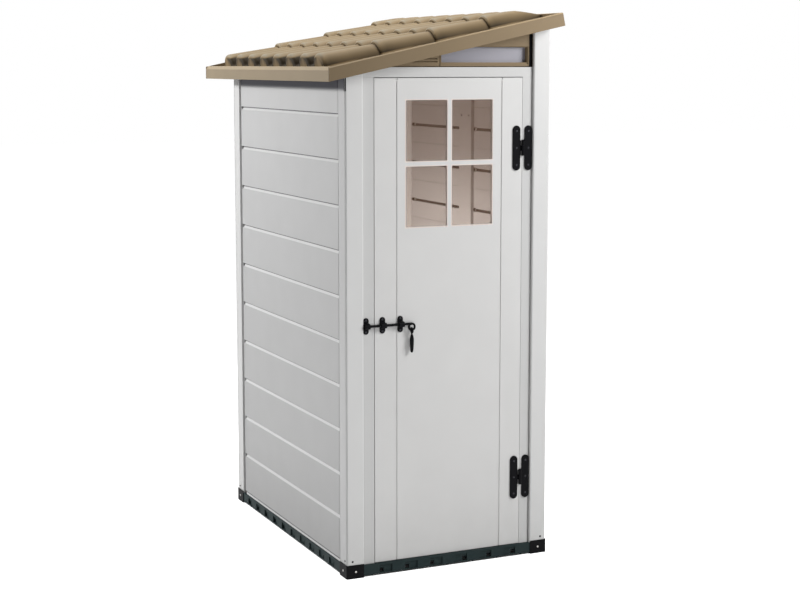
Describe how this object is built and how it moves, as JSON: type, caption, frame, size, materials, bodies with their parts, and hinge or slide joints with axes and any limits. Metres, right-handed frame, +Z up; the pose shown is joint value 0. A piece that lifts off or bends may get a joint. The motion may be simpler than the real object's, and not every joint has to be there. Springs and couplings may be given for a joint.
{
  "type": "garden shed",
  "caption": "Narrow lean-to garden shed with hollow boarded walls, a glazed hinged door with a sliding bolt, and a roof of moulded half round tiles.",
  "frame": {"origin": "on the ground, under the middle of the roof's outline", "axes": "+Z up, +Y from the door to the back wall, +X to the right seen from the front, towards the high side of the roof"},
  "size_m": [0.884, 1.304, 1.9546],
  "materials": {
    "floor_plastic": "dark green grey moulded plastic, dull",
    "foot_plastic": "black moulded plastic, slight sheen",
    "screw_steel": "zinc plated steel",
    "clear_sheet": "clear plastic sheet, glossy",
    "milky_sheet": "milky translucent plastic sheet",
    "gable_plastic": "tan moulded plastic",
    "roof_plastic": "tan moulded plastic, fine grain",
    "fascia_plastic": "tan moulded plastic, smooth",
    "door_plastic": "off white moulded plastic, satin",
    "post_plastic": "off white moulded plastic, satin",
    "wall_plastic": "off white moulded plastic, satin",
    "black_metal": "black powder coat"
  },
  "bodies": {
    "shed": {"floor_tile_front_left": "floor_plastic", "floor_tile_front_right": "floor_plastic", "floor_tile_back_left": "floor_plastic", "floor_tile_back_right": "floor_plastic", "corner_foot_front_left": "foot_plastic", "corner_foot_front_right": "foot_plastic", "corner_foot_back_left": "foot_plastic", "corner_foot_back_right": "foot_plastic", "foot_screws": "screw_steel", "post_screws": "screw_steel", "left_wall_panel": "wall_plastic", "right_wall_panel": "wall_plastic", "back_wall_panel": "wall_plastic", "front_left_post": "post_plastic", "front_right_post": "post_plastic", "back_left_post": "post_plastic", "back_right_post": "post_plastic", "left_wall_batten": "wall_plastic", "right_wall_batten": "wall_plastic", "batten_screws": "black_metal", "left_jamb": "post_plastic", "right_jamb": "post_plastic", "lintel": "post_plastic", "gable_vent_panel": "gable_plastic", "gable_window_frame": "gable_plastic", "gable_window_pane": "milky_sheet", "back_gable_panel": "gable_plastic", "roof_ceiling_sheet": "wall_plastic", "roof_tile_moulding": "roof_plastic", "eave_fascia": "fascia_plastic", "high_fascia": "fascia_plastic", "front_barge_board": "fascia_plastic", "back_barge_board": "fascia_plastic", "upper_hinge_frame_leaf": "black_metal", "lower_hinge_frame_leaf": "black_metal", "upper_hinge_pin": "black_metal", "lower_hinge_pin": "black_metal", "frame_hinge_screws": "black_metal", "bolt_keeper": "black_metal", "keeper_screws": "black_metal"},
    "door": {"door_panel": "door_plastic", "door_window_pane": "clear_sheet", "door_window_retainer": "door_plastic", "upper_hinge_door_leaf": "black_metal", "lower_hinge_door_leaf": "black_metal", "door_hinge_screws": "black_metal", "outer_bolt_guide": "black_metal", "inner_bolt_guide": "black_metal", "guide_screws": "black_metal"},
    "bolt": {"bolt_rod": "black_metal"},
    "handle": {"drop_handle": "black_metal"}
  },
  "joints": [
    {"name": "door_swing", "type": "hinge", "parent": "shed", "child": "door", "pos_m": [0.3237, -0.571, 0.88], "axis": [0, 0, 1], "range_deg": [0, 170]},
    {"name": "bolt_slide", "type": "slide", "parent": "door", "child": "bolt", "axis": [-1, 0, 0], "range_m": [0, 0.014]},
    {"name": "handle_lift", "type": "hinge", "parent": "bolt", "child": "handle", "pos_m": [-0.1089, -0.576, 0.8549], "axis": [-1, 0, 0], "range_deg": [0, 100]}
  ]
}
